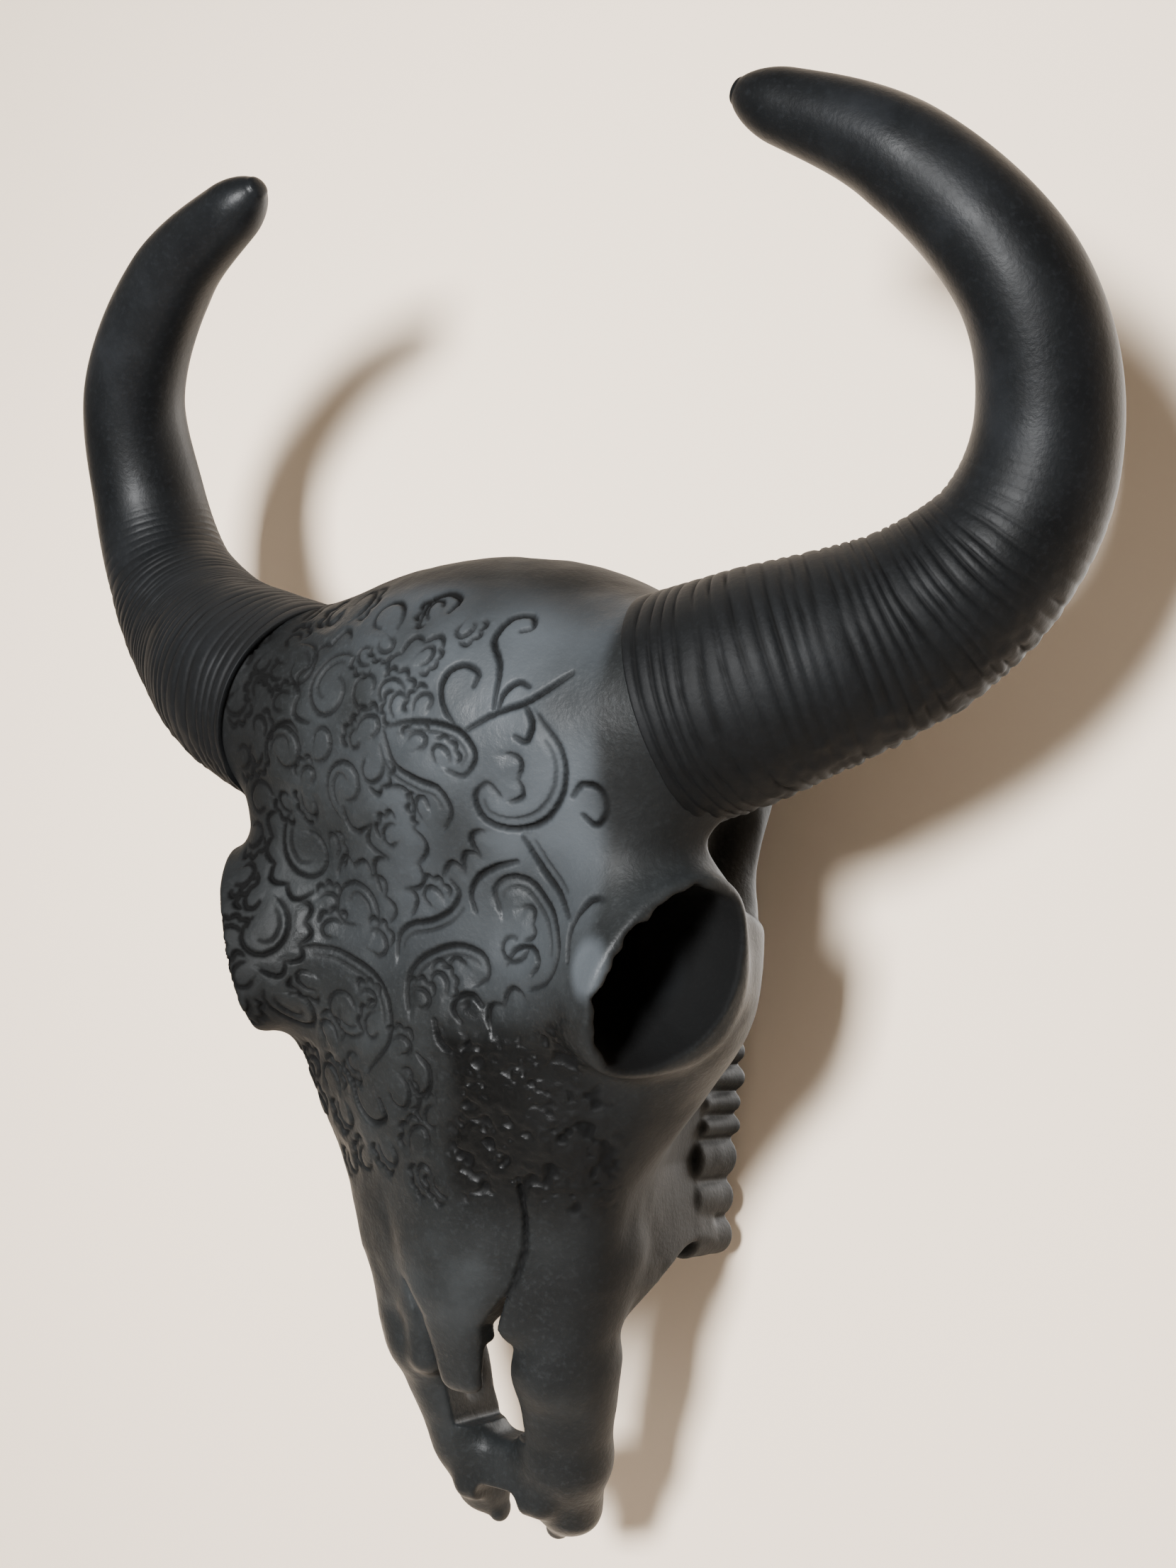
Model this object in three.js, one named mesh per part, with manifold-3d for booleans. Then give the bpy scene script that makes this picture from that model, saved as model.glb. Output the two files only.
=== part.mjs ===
// A life-size horned bison skull, cast and painted as a wall decoration.
// Millimetres, +Z up. The wall is the plane y = 0, the forehead looks along -Y and the muzzle hangs down.
import * as THREE from "three";
import { mergeVertices } from "three/addons/utils/BufferGeometryUtils.js";
import Module from "manifold-3d";

const wasm = await Module();
wasm.setup();

// Driving dimensions
const CELL = 12.8; // spacing of the sampling grid of the skull
const GAP = 0.3; // clearance between neighbouring pieces
const DOME_TOP = 119; // height of the poll above the frame's origin
const DOME_FRONT = 264; // forehead's distance from the wall
const ORBIT_CENTRE = [132, -208, -92]; // middle of the right eye socket's opening
const ORBIT_FACING = [0.88, -0.36, -0.3];
const ORBIT_TURN = 65.5; // degrees from level of the opening's long axis
const ORBIT_HALF = [48, 34]; // of the opening, along and across
const ORBIT_WALL = 6;
const ORBIT_DEPTH = 58;
const MUZZLE_END = -397;
const NASAL_TIP = -314;
const NASAL_THICK = 20;
const TOOTH_FACE = -13; // chewing face of the cheek teeth
const PAD_HALF = [60, 46]; // flat bearing pad on the wall, half width and half height
const PAD_Z = 16;

// Horn: centre line and radius of the right one, from its base to its tip
const HORN_PATH = [
  [118, -196, 36],
  [163, -191, 52],
  [226, -169, 83],
  [266, -164, 122],
  [283, -172, 168],
  [277, -199, 225],
  [226, -226, 282],
  [150, -243, 318],
];
const HORN_RADII = [57, 54, 45, 37, 33, 29, 23.5, 10];
const HORN_SIDES = 24;
const RING_COUNT = 9; // growth rings on the lower part of the horn
const RING_HEIGHT = 1.1;
const RING_SHARE = 0.36; // share of the horn's length that carries rings
const HORN_STEPS = 15; // stations along the smooth part

// Cheek teeth, front to back: length along the row and number of lobes
const TOOTH_ROW = [
  [20, 1],
  [21, 1],
  [23, 1],
  [26, 2],
  [29, 2],
  [31, 2],
];
const ROW_FRONT = -243;
const ROW_X_FRONT = 64; // middle of the row at its front end
const ROW_X_BACK = 63;
const TOOTH_WIDTH = 22;
const TOOTH_ROOT = -48;

const BONE = { color: 0x3a3d3a, roughness: 0.55 };
const HORN = { color: 0x25272a, roughness: 0.42 };
const FACE = { color: 0x343634, roughness: 0.58 };

// Shapes as signed distances, negative inside
function ellipsoid(p, centre, radii) {
  const q = p.map((v, i) => v - centre[i]);
  const k0 = Math.hypot(q[0] / radii[0], q[1] / radii[1], q[2] / radii[2]);
  const k1 = Math.hypot(q[0] / radii[0] ** 2, q[1] / radii[1] ** 2, q[2] / radii[2] ** 2);
  return k1 > 0 ? (k0 * (k0 - 1)) / k1 : -Math.min(...radii);
}

// A bar from a to b whose radius goes from ra to rb.
function bar(p, a, b, ra, rb) {
  const ab = b.map((v, i) => v - a[i]);
  const ap = p.map((v, i) => v - a[i]);
  const along = ap.reduce((s, v, i) => s + v * ab[i], 0) / ab.reduce((s, v) => s + v * v, 0);
  const t = Math.min(1, Math.max(0, along));
  return Math.hypot(...ap.map((v, i) => v - t * ab[i])) - (ra + t * (rb - ra));
}

function roundedBox(p, centre, half, round) {
  const q = p.map((v, i) => Math.abs(v - centre[i]) - half[i] + round);
  const outside = Math.hypot(...q.map((v) => Math.max(v, 0)));
  return outside + Math.min(Math.max(...q), 0) - round;
}

function join(a, b, soft) {
  const h = Math.max(soft - Math.abs(a - b), 0) / soft;
  return Math.min(a, b) - (h * h * soft) / 4;
}

function meet(a, b, soft) {
  return -join(-a, -b, soft);
}

function cut(a, b, soft) {
  return meet(a, -b, soft);
}

// Value that runs from v0 at t0 to v1 at t1 and stays level beyond.
function ramp(t, t0, v0, t1, v1) {
  const s = Math.min(1, Math.max(0, (t - t0) / (t1 - t0)));
  return v0 + (v1 - v0) * s;
}

// The cheeks: at each height a section with a narrow roof, a shoulder and straight sides.
function cheeks(p) {
  const [x, y, z] = p;
  const roof = ramp(z, -330, -158, -120, -212);
  const floor = ramp(z, -272, -98, -246, -27);
  const widest = ramp(z, -310, 46, -250, 80) + ramp(z, -250, 0, -150, 18);
  const roofHalf = ramp(z, -310, 26, -150, 50);
  const shoulder = roof + 22;
  const half = widest - ramp(z, -240, 0.04, -190, 0.2) * Math.max(0, y - shoulder);
  const slope = Math.hypot(shoulder - roof, widest - roofHalf);
  const bevel = ((x - widest) * (shoulder - roof) - (y - shoulder) * (widest - roofHalf)) / slope;
  const side = meet(x - half, bevel, 16);
  const depth = meet(roof - y, y - floor, 10);
  const ends = meet(-284 - z, z + 60, 10);
  const body = meet(meet(side, depth, 14), ends, 12);
  return cut(body, Math.hypot(y + 55, z + 292) - 47, 4);
}

// The two arms of the muzzle, joined by a web just above their hooked tips.
function muzzleArms(p) {
  const upper = bar(p, [52, -134, -232], [41, -133, -292], 32, 26);
  const middle = bar(p, [41, -126, -296], [31, -108, -346], 26, 20);
  const tip = bar(p, [31, -108, -346], [27, -93, MUZZLE_END + 24], 20, 15);
  const flank = bar(p, [47, -126, -290], [39, -105, -346], 25, 19);
  const flankTip = bar(p, [39, -105, -346], [33, -91, MUZZLE_END + 22], 19, 14);
  const hook = bar(p, [31, -91, MUZZLE_END + 22], [21, -86, MUZZLE_END + 8], 14, 7);
  const web = bar(p, [0, -97, -359], [26, -101, -358], 15, 17);
  const inner = join(upper, join(middle, tip, 8), 5);
  const outer = join(flank, join(flankTip, hook, 6), 8);
  return join(join(inner, outer, 6), web, 8);
}

function nasals(p) {
  const [x, y, z] = p;
  const roof = ramp(z, NASAL_TIP, -161, -264, -182) + ramp(z, -264, 0, -150, -31);
  const flare = ramp(z, NASAL_TIP, 13, -284, 18) + ramp(z, -284, 0, -262, 16);
  const half = flare + ramp(z, -262, 0, -190, 12);
  const arch = y - roof - (x * x) / 130;
  const sheet = meet(-arch, arch - NASAL_THICK, 6);
  const sides = meet(sheet, x - half, 8);
  const ends = meet(NASAL_TIP - z, z + 140, 8);
  return meet(sides, ends, 8);
}

// Unit vectors out of the right eye socket, along its opening and across it.
function orbitAxes() {
  const out = new THREE.Vector3(...ORBIT_FACING).normalize();
  const level = new THREE.Vector3(0, 0, 1).cross(out).normalize();
  const along = level.applyAxisAngle(out, THREE.MathUtils.degToRad(ORBIT_TURN));
  return [out, along, new THREE.Vector3().crossVectors(out, along)];
}
const ORBIT_AXES = orbitAxes().map((v) => v.toArray());

// The bony tube that carries the eye socket out to the side.
function orbitTube(p) {
  const from = p.map((v, i) => v - ORBIT_CENTRE[i]);
  const [out, along, across] = ORBIT_AXES.map((axis) => axis.reduce((s, v, i) => s + v * from[i], 0));
  const [a, b] = ORBIT_HALF.map((v) => v + ORBIT_WALL);
  const reach = Math.hypot(along / a, across / b);
  const steep = Math.hypot(along / a ** 2, across / b ** 2);
  const oval = steep > 0 ? (reach * (reach - 1)) / steep : -b;
  return meet(oval, Math.abs(out + 45) - 45, 5);
}

function braincase(p) {
  let d = bar(p, [0, -105, 40], [0, -60, 55], 80, 60);
  d = join(d, bar(p, [40, -105, 40], [72, -70, 62], 60, 34), 24);
  d = join(d, bar(p, [30, -60, 92], [34, -38, 104], 22, 18), 8);
  d = join(d, bar(p, [0, -62, 40], [0, -60, -90], 40, 24), 24);
  d = join(d, bar(p, [30, -50, -40], [46, -46, -98], 14, 14), 12);
  return join(d, roundedBox(p, [0, -30, PAD_Z], [PAD_HALF[0], 44, PAD_HALF[1]], 30), 14);
}

function skull(px, y, z) {
  const p = [Math.abs(px), y, z];
  let d = ellipsoid(p, [0, -170, 25], [146, DOME_FRONT - 170, DOME_TOP - 25]);
  d = join(d, ellipsoid(p, [0, -150, -66], [144, 77, 150]), 40);
  d = join(d, bar(p, [84, -192, 24], [130, -195, 40], 58, 54), 22);
  d = join(d, bar(p, [100, -203, 8], [104, -203, -75], 28, 28), 20);
  d = join(d, bar(p, [70, -160, -92], [104, -166, -97], 54, 42), 20);
  d = join(d, cheeks(p), 26);
  d = join(d, nasals(p), 8);
  d = join(d, braincase(p), 30);
  d = cut(d, ellipsoid(p, [134, -134, -20], [36, 54, 38]), 10);
  d = join(d, bar(p, [112, -150, -112], [104, -112, -52], 17, 12), 14);
  d = join(d, bar(p, [104, -112, -52], [94, -82, 24], 12, 20), 12);
  d = join(d, orbitTube(p), 16);
  d = cut(d, bar(p, [0, -20, -92], [0, -30, -300], 40, 30), 10);
  d = cut(d, bar(p, [0, -140, -205], [0, -116, -300], 22, 26), 8);
  d = cut(d, bar(p, [0, -44, 160], [0, -70, 78], 20, 17), 5);
  d = join(d, muzzleArms(p), 6);
  d = cut(d, bar(p, [0, -138, -262], [0, -110, -320], 23, 21), 5);
  d = cut(d, ellipsoid(p, [0, -92, MUZZLE_END + 7], [19, 60, 16]), 3);
  return d;
}

// Corners and edges of a grid cell
const CORNERS = [0, 1, 2, 3, 4, 5, 6, 7].map((i) => [i & 1, (i >> 1) & 1, i >> 2]);
const EDGES = [];
for (let a = 0; a < 8; a++) {
  for (let axis = 1; axis < 8; axis *= 2) if (!(a & axis)) EDGES.push([a, a | axis]);
}

function pieces(mask) {
  const group = CORNERS.map((_, i) => i);
  for (let pass = 0; pass < 8; pass++) {
    for (const [a, b] of EDGES) {
      if (((mask >> a) & 1) === ((mask >> b) & 1)) group[a] = group[b] = Math.min(group[a], group[b]);
    }
  }
  return new Set(group).size;
}

// Closed surface of a field inside a box, one vertex in each cell that the surface crosses.
function surfaceOf(field, low, high, cell) {
  const n = low.map((v, i) => Math.ceil((high[i] - v) / cell) + 1);
  const step = low.map((v, i) => (high[i] - v) / (n[i] - 1));
  const at = (i, j, k) => i + n[0] * (j + n[1] * k);
  const value = new Float64Array(n[0] * n[1] * n[2]);
  for (let k = 0; k < n[2]; k++) {
    for (let j = 0; j < n[1]; j++) {
      for (let i = 0; i < n[0]; i++) {
        value[at(i, j, k)] = field(low[0] + i * step[0], low[1] + j * step[1], low[2] + k * step[2]);
      }
    }
  }
  const cells = [];
  for (let k = 0; k < n[2] - 1; k++) {
    for (let j = 0; j < n[1] - 1; j++) for (let i = 0; i < n[0] - 1; i++) cells.push([i, j, k]);
  }
  const cornersOf = ([i, j, k]) => CORNERS.map((c) => at(i + c[0], j + c[1], k + c[2]));
  const maskOf = (corners) => corners.reduce((m, c, i) => m | (value[c] < 0 ? 1 << i : 0), 0);
  // A cell that the surface would cross twice is filled in, so that the surface stays simple.
  let filled = true;
  while (filled) {
    filled = false;
    for (const c of cells) {
      const corners = cornersOf(c);
      const mask = maskOf(corners);
      if (mask === 0 || mask === 255 || pieces(mask) === 2) continue;
      const open = corners.filter((v) => value[v] >= 0);
      const nearest = open.reduce((best, v) => (value[v] < value[best] ? v : best));
      value[nearest] = -0.05 * cell;
      filled = true;
    }
  }
  const vertices = [];
  const vertexOf = new Map();
  for (const c of cells) {
    const corners = cornersOf(c);
    const mask = maskOf(corners);
    if (mask === 0 || mask === 255) continue;
    const sum = [0, 0, 0];
    let crossings = 0;
    for (const [a, b] of EDGES) {
      const va = value[corners[a]];
      const vb = value[corners[b]];
      if (va < 0 === vb < 0) continue;
      const t = va / (va - vb);
      for (let m = 0; m < 3; m++) sum[m] += CORNERS[a][m] + t * (CORNERS[b][m] - CORNERS[a][m]);
      crossings++;
    }
    const start = sum.map((s, m) => low[m] + (c[m] + s / crossings) * step[m]);
    vertexOf.set(at(...c), vertices.length);
    vertices.push(settle(field, start, 0.45 * cell));
  }
  const triangles = [];
  const quad = (a, b, c, d) => {
    const across = (m, o) => Math.hypot(...vertices[m].map((v, i) => v - vertices[o][i]));
    if (across(a, c) <= across(b, d)) triangles.push(a, b, c, a, c, d);
    else triangles.push(a, b, d, b, c, d);
  };
  for (const [i, j, k] of cells) {
    const here = value[at(i, j, k)] < 0;
    [0, 1, 2].forEach((axis) => {
      const next = [i, j, k];
      next[axis] += 1;
      if (here === value[at(...next)] < 0) return;
      const u = (axis + 1) % 3;
      const v = (axis + 2) % 3;
      const around = [[0, 0], [1, 0], [1, 1], [0, 1]].map(([du, dv]) => {
        const c = [i, j, k];
        c[u] -= du;
        c[v] -= dv;
        return vertexOf.get(at(...c));
      });
      if (here) quad(around[0], around[1], around[2], around[3]);
      else quad(around[3], around[2], around[1], around[0]);
    });
  }
  const geometry = new THREE.BufferGeometry();
  geometry.setAttribute("position", new THREE.Float32BufferAttribute(vertices.flat(), 3));
  geometry.setIndex(triangles);
  return geometry;
}

// Moves a vertex onto the field's surface, at most `most` from where it starts.
function settle(field, start, most) {
  let p = start;
  for (let pass = 0; pass < 4; pass++) {
    const d = field(...p);
    const slope = [0, 1, 2].map((m) => {
      const q = [...p];
      q[m] += 0.5;
      return (field(...q) - d) / 0.5;
    });
    const steep = Math.max(slope.reduce((s, v) => s + v * v, 0), 0.2);
    p = p.map((v, m) => v - (d * slope[m]) / steep);
  }
  const moved = p.map((v, m) => v - start[m]);
  const share = Math.min(1, most / Math.max(Math.hypot(...moved), 1e-6));
  return start.map((v, m) => v + moved[m] * share);
}

function solidOf(geometry) {
  const bare = new THREE.BufferGeometry();
  bare.setAttribute("position", geometry.getAttribute("position"));
  bare.setIndex(geometry.index);
  const merged = mergeVertices(bare, 1e-4);
  return new wasm.Manifold(
    new wasm.Mesh({
      numProp: 3,
      vertProperties: new Float32Array(merged.attributes.position.array),
      triVerts: new Uint32Array(merged.index.array),
    }),
  );
}

function largest(solid) {
  return solid.decompose().reduce((best, s) => (s.volume() > best.volume() ? s : best));
}

function meshOf(name, solid, look) {
  const made = largest(solid).getMesh();
  const geometry = new THREE.BufferGeometry();
  geometry.setAttribute("position", new THREE.BufferAttribute(new Float32Array(made.vertProperties), 3));
  geometry.setIndex(new THREE.BufferAttribute(new Uint32Array(made.triVerts), 1));
  geometry.computeVertexNormals();
  const mesh = new THREE.Mesh(geometry, new THREE.MeshStandardMaterial(look));
  mesh.name = name;
  return mesh;
}

// Everything on the far side of a plane through `point`, as a large box.
function halfSpace(point, normal) {
  const size = 1400;
  const box = new THREE.BoxGeometry(size, size, size);
  const direction = new THREE.Vector3(...normal).normalize();
  const turn = new THREE.Quaternion().setFromUnitVectors(new THREE.Vector3(0, 0, 1), direction);
  const middle = new THREE.Vector3(...point).addScaledVector(direction, size / 2);
  return solidOf(box.applyQuaternion(turn).translate(middle.x, middle.y, middle.z));
}

const hornCurve = new THREE.CatmullRomCurve3(
  HORN_PATH.map((v) => new THREE.Vector3(...v)),
  false,
  "centripetal",
);

function hornRadius(t) {
  const s = t * (HORN_RADII.length - 1);
  const i = Math.min(Math.floor(s), HORN_RADII.length - 2);
  const f = s - i;
  return HORN_RADII[i] + (HORN_RADII[i + 1] - HORN_RADII[i]) * f;
}

// Stations of the horn as pairs of curve parameter and ring relief.
function hornStations() {
  const stations = [];
  for (let i = 0; i < 2 * RING_COUNT; i++) {
    stations.push([(RING_SHARE * i) / (2 * RING_COUNT), i % 2 ? RING_HEIGHT : -RING_HEIGHT]);
  }
  for (let i = 0; i <= HORN_STEPS; i++) {
    stations.push([RING_SHARE + ((1 - RING_SHARE) * i) / HORN_STEPS, 0]);
  }
  return stations;
}

function hornSolid() {
  const points = [];
  const faces = [];
  const stations = hornStations();
  let side = new THREE.Vector3(0, 1, 0);
  for (const [t, relief] of stations) {
    const centre = hornCurve.getPoint(t);
    const along = hornCurve.getTangent(t);
    side = side.clone().addScaledVector(along, -side.dot(along)).normalize();
    const up = new THREE.Vector3().crossVectors(along, side);
    for (let j = 0; j < HORN_SIDES; j++) {
      const turn = (j / HORN_SIDES) * 2 * Math.PI;
      const r = hornRadius(t) + relief;
      points.push(
        centre.clone().addScaledVector(side, r * Math.cos(turn)).addScaledVector(up, r * Math.sin(turn)),
      );
    }
  }
  const last = stations.length - 1;
  const base = points.push(hornCurve.getPoint(0)) - 1;
  const tip = points.push(hornCurve.getPoint(1).addScaledVector(hornCurve.getTangent(1), 6)) - 1;
  for (let j = 0; j < HORN_SIDES; j++) {
    const k = (j + 1) % HORN_SIDES;
    for (let i = 0; i < last; i++) {
      const a = i * HORN_SIDES;
      const b = a + HORN_SIDES;
      faces.push(a + j, a + k, b + k, a + j, b + k, b + j);
    }
    faces.push(base, k, j, tip, last * HORN_SIDES + j, last * HORN_SIDES + k);
  }
  const geometry = new THREE.BufferGeometry().setFromPoints(points);
  geometry.setIndex(faces);
  return solidOf(geometry);
}

// A short drum past the horn's base that trims the bone core flush below the horn.
function hornClearance() {
  const drum = new THREE.CylinderGeometry(84, 84, 120, 32);
  const along = hornCurve.getTangent(0);
  drum.applyQuaternion(new THREE.Quaternion().setFromUnitVectors(new THREE.Vector3(0, 1, 0), along));
  const middle = hornCurve.getPoint(0).addScaledVector(along, 60 - GAP);
  return solidOf(drum.translate(middle.x, middle.y, middle.z));
}

// The rim of the right eye socket, a short oval tube.
function orbitShell() {
  const length = 40;
  const shell = new THREE.CylinderGeometry(1, 1.06, length, 32);
  shell.scale(ORBIT_HALF[0] + ORBIT_WALL, 1, ORBIT_HALF[1] + ORBIT_WALL);
  const [out, along, across] = orbitAxes();
  shell.applyMatrix4(new THREE.Matrix4().makeBasis(along, out, across.negate()));
  const middle = new THREE.Vector3(...ORBIT_CENTRE).addScaledVector(out, -length / 2);
  return solidOf(shell.translate(middle.x, middle.y, middle.z));
}

// The hollow of the right eye socket.
function orbitHollow() {
  const hollow = new THREE.SphereGeometry(1, 28, 16);
  hollow.scale(ORBIT_DEPTH, ORBIT_HALF[0], ORBIT_HALF[1]);
  const axes = orbitAxes();
  hollow.applyMatrix4(new THREE.Matrix4().makeBasis(...axes));
  const middle = new THREE.Vector3(...ORBIT_CENTRE).addScaledVector(axes[0], 5);
  return solidOf(hollow.translate(middle.x, middle.y, middle.z));
}

// Small repeatable variation between -1 and 1.
function wobble(n) {
  const s = Math.sin(n * 12.9898 + 4.1) * 43758.5453;
  return 2 * (s - Math.floor(s)) - 1;
}

// Both rows of cheek teeth, each lobe a tapered oval column sunk into the jaw.
function toothRows() {
  const lobes = [];
  const total = TOOTH_ROW.reduce((s, [length]) => s + length, 0);
  let run = 0;
  TOOTH_ROW.forEach(([length, count], tooth) => {
    for (let lobe = 0; lobe < count; lobe++) {
      const middle = run + (length * (lobe + 0.5)) / count;
      const seed = 3 * tooth + lobe;
      const face = TOOTH_FACE + 1.5 * wobble(seed);
      const height = face - TOOTH_ROOT;
      const x = ROW_X_FRONT + ((ROW_X_BACK - ROW_X_FRONT) * middle) / total + 0.8 * wobble(seed + 20);
      const column = new THREE.CylinderGeometry(0.5, 0.54, height, 12);
      column.scale(TOOTH_WIDTH * (1 + 0.05 * wobble(seed + 40)), 1, (1.12 * length) / count);
      column.translate(x, (face + TOOTH_ROOT) / 2, ROW_FRONT + middle);
      const right = solidOf(column);
      lobes.push(right, right.mirror([1, 0, 0]));
    }
    run += length;
  });
  return lobes;
}

const low = [-200, -280, -412];
const high = [200, 30, 135];
let bone = solidOf(surfaceOf(skull, low, high, CELL));
bone = largest(bone.intersect(halfSpace([0, 0, 0], [0, -1, 0])));
const drum = hornClearance();
bone = bone.subtract(drum).subtract(drum.mirror([1, 0, 0]));
const shell = orbitShell();
bone = bone.add(shell).add(shell.mirror([1, 0, 0]));
const hollow = orbitHollow();
bone = largest(bone.subtract(hollow).subtract(hollow.mirror([1, 0, 0])));

// Sutures between the pieces: the plane across the face, the roof of the nose and the muzzle arms
const FACE_PLANE = { point: [0, -230, -143], normal: [0, -0.3, 1] };
const half = GAP / 2;
const shifted = (point, normal, by) => {
  const length = Math.hypot(...normal);
  return point.map((v, i) => v + (normal[i] / length) * by);
};
const reverse = (normal) => normal.map((v) => -v);
const above = halfSpace(shifted(FACE_PLANE.point, FACE_PLANE.normal, half), FACE_PLANE.normal);
const below = halfSpace(shifted(FACE_PLANE.point, FACE_PLANE.normal, -half), reverse(FACE_PLANE.normal));
const cranium = bone.intersect(above);
const face = bone.intersect(below);

const MUZZLE_PLANE = { point: [0, 0, -268], normal: [0, 0, 1] };
const ROOF_PLANE = { point: [0, -188, -150], normal: [0, -1, -0.235] };
const roofSide = (by, normal) => halfSpace(shifted(ROOF_PLANE.point, ROOF_PLANE.normal, by), normal);
const NOSE_SIDE = { point: [50, 0, -150], normal: [1, 0, -0.16] };
function nosePrism(by) {
  const side = halfSpace(shifted(NOSE_SIDE.point, NOSE_SIDE.normal, by), reverse(NOSE_SIDE.normal));
  return roofSide(-by, ROOF_PLANE.normal).intersect(side).intersect(side.mirror([1, 0, 0]));
}
const nose = largest(face.intersect(nosePrism(-half)));
const underNose = face.subtract(nosePrism(half));
const upperJaw = underNose.intersect(halfSpace(shifted(MUZZLE_PLANE.point, MUZZLE_PLANE.normal, half), [0, 0, 1]));
const muzzle = underNose.intersect(halfSpace(shifted(MUZZLE_PLANE.point, MUZZLE_PLANE.normal, -half), [0, 0, -1]));
const jawWithTeeth = toothRows().reduce((s, lobe) => s.add(lobe), largest(upperJaw));

const horn = hornSolid();

const group = new THREE.Group();
group.add(
  meshOf("cranium", cranium, BONE),
  meshOf("upper_jaw", jawWithTeeth, FACE),
  meshOf("nasal_bones", nose, FACE),
  meshOf("premaxillae", muzzle, FACE),
  meshOf("horn_right", horn, HORN),
  meshOf("horn_left", horn.mirror([1, 0, 0]), HORN),
);

export default group;
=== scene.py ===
"""Looks of a black carved horned skull that hangs on a pale wall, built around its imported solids."""

import math

import bpy
import numpy as np
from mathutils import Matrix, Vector


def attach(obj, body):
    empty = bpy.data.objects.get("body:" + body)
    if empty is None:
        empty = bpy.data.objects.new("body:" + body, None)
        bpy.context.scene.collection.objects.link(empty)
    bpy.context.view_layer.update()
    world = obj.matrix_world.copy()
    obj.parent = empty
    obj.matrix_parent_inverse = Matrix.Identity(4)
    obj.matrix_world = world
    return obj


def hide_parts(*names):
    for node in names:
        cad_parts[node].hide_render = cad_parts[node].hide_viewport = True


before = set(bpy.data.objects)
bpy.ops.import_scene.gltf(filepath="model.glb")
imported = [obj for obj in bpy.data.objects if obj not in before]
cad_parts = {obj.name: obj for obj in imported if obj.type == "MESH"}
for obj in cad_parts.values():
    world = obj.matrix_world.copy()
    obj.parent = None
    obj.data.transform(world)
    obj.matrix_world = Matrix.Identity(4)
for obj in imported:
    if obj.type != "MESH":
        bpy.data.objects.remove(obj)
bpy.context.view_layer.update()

MM = 0.001
CELL = 1.5  # spacing of the skull's sampling grid, millimetres
BLOCK = 8  # cells along one side of a sampling block
BATCH = 1500  # blocks sampled at a time
LOW = np.array([-204.0, -282.0, -414.0])  # corners of the sampling grid, millimetres
HIGH = np.array([204.0, 30.0, 136.0])
SLOPE_STEP = 0.4  # over which the field's slope is taken, millimetres
NOISE_CELLS = 32  # along each side of a table of noise

# Main sizes after the solids, millimetres
DOME_TOP = 119
DOME_FRONT = 264
ORBIT_CENTRE = (132, -208, -92)
ORBIT_FACING = (0.88, -0.36, -0.3)
ORBIT_TURN = math.radians(65.5)  # of the opening's long axis, from level
ORBIT_HALF = (48, 34)  # of the opening, along and across
ORBIT_WALL = 5
ORBIT_DEPTH = 58
MUZZLE_END = -397
NASAL_TIP = -314
NASAL_THICK = 20
PAD_HALF = (60, 46)
PAD_Z = 16
HORN_PATH = [
    (118, -196, 36),
    (163, -191, 52),
    (226, -169, 83),
    (266, -164, 122),
    (283, -172, 168),
    (277, -199, 225),
    (226, -226, 282),
    (150, -243, 318),
]
HORN_RADII = [57, 54, 45, 37, 33, 29, 24, 14]
TIP_REACH = 24  # of the rounding at a horn's tip
TOOTH_LENGTHS = (20, 21, 23, 26, 29, 31)
ROW_FRONT = -243
ROW_X = (64, 63)
TOOTH_FACE = -13
TOOTH_WIDTH = 22


# Shapes as signed distances over arrays of points, negative inside
def ellipsoid(p, centre, radii):
    q = p - np.array(centre, np.float32)[:, None]
    r = np.array(radii, np.float32)[:, None]
    k0 = np.sqrt(((q / r) ** 2).sum(0))
    k1 = np.sqrt(((q / r**2) ** 2).sum(0)) + 1e-9
    return k0 * (k0 - 1) / k1


def bar(p, a, b, ra, rb):
    a = np.array(a, np.float32)
    ab = np.array(b, np.float32) - a
    ap = p - a[:, None]
    t = np.clip((ap * ab[:, None]).sum(0) / float(ab @ ab), 0, 1)
    return np.sqrt(((ap - t * ab[:, None]) ** 2).sum(0)) - (ra + t * (rb - ra))


def rounded_box(p, centre, half, rounding):
    q = np.abs(p - np.array(centre, np.float32)[:, None]) - np.array(half, np.float32)[:, None] + rounding
    outside = np.sqrt((np.maximum(q, 0) ** 2).sum(0))
    return outside + np.minimum(q.max(0), 0) - rounding


def join(a, b, soft):
    h = np.maximum(soft - np.abs(a - b), 0) / soft
    return np.minimum(a, b) - h * h * soft / 4


def meet(a, b, soft):
    return -join(-a, -b, soft)


def cut(a, b, soft):
    return meet(a, -b, soft)


def ramp(t, t0, v0, t1, v1):
    return v0 + (v1 - v0) * np.clip((t - t0) / (t1 - t0), 0, 1)


def smooth(value, low, high):
    """Eases from 0 at low to 1 at high."""
    t = np.clip((value - low) / (high - low), 0, 1)
    return t * t * (3 - 2 * t)


def cheeks(p):
    x, y, z = p
    roof = ramp(z, -330, -158, -120, -212)
    floor = ramp(z, -272, -98, -246, -27)
    widest = ramp(z, -310, 46, -250, 80) + ramp(z, -250, 0, -150, 18)
    roof_half = ramp(z, -310, 26, -150, 50)
    shoulder = roof + 22
    half = widest - ramp(z, -240, 0.04, -190, 0.2) * np.maximum(0, y - shoulder)
    slope = np.hypot(shoulder - roof, widest - roof_half)
    bevel = ((x - widest) * (shoulder - roof) - (y - shoulder) * (widest - roof_half)) / slope
    side = meet(x - half, bevel, 16)
    depth = meet(roof - y, y - floor, 10)
    ends = meet(-284 - z, z + 60, 10)
    body = meet(meet(side, depth, 14), ends, 12)
    return cut(body, np.hypot(y + 55, z + 292) - 59, 4)


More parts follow.
